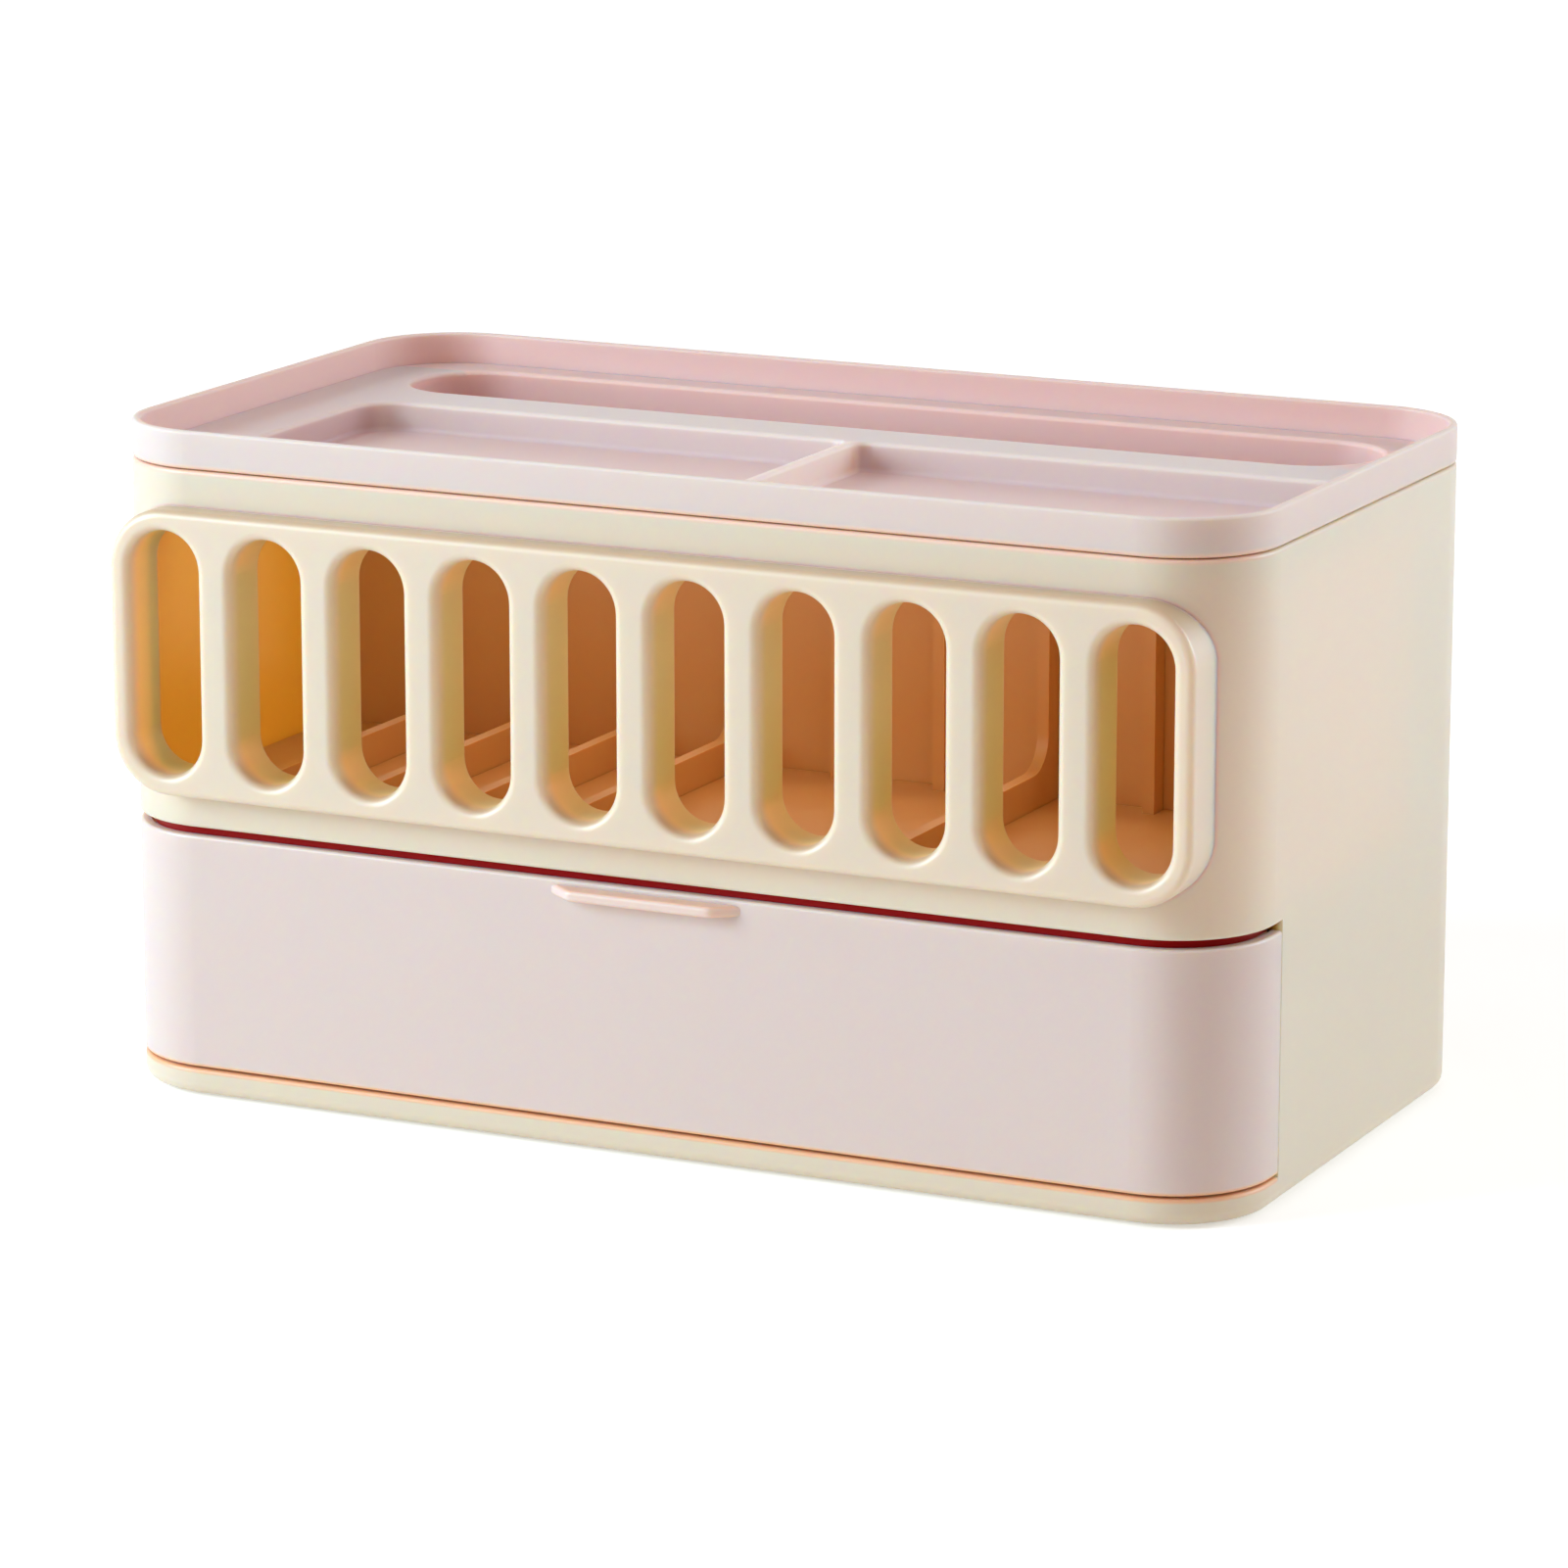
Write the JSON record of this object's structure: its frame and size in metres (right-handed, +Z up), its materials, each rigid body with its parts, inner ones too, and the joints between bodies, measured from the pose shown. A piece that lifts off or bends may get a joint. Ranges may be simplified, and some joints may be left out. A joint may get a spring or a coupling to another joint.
{
  "type": "desk drawer unit",
  "caption": "Rounded desk organiser with a pull-out drawer below, a row of upright slots in a raised front panel and a lift-out pocketed tray on top.",
  "frame": {"origin": "on the desk, under the middle of the whole object's box", "axes": "+X to the right along the width, +Y to the back, +Z up; the drawer and slots face -Y"},
  "size_m": [0.28, 0.1572, 0.1561],
  "materials": {
    "cream_plastic": "satin moulded",
    "inner_plastic": "satin moulded",
    "pink_plastic": "satin moulded",
    "foot_pad": "matte"
  },
  "bodies": {
    "case": {"case_shell": "cream_plastic", "slot_panel": "cream_plastic", "compartment_floor": "inner_plastic", "compartment_back": "inner_plastic", "divider_1": "inner_plastic", "divider_2": "inner_plastic", "divider_3": "inner_plastic", "divider_4": "inner_plastic", "divider_5": "inner_plastic", "divider_6": "inner_plastic", "divider_7": "inner_plastic", "divider_8": "inner_plastic", "divider_9": "inner_plastic", "foot_front_left": "foot_pad", "foot_front_right": "foot_pad", "foot_back_left": "foot_pad", "foot_back_right": "foot_pad"},
    "drawer": {"drawer_front": "pink_plastic", "drawer_box": "pink_plastic"},
    "tray": {"top_tray": "pink_plastic"}
  },
  "joints": [
    {"name": "drawer_slide", "type": "slide", "parent": "case", "child": "drawer", "axis": [0, -1, 0], "range_m": [0, 0.105]},
    {"name": "tray_lift", "type": "slide", "parent": "case", "child": "tray", "axis": [0, 0, 1], "range_m": [0, 0.1]}
  ]
}
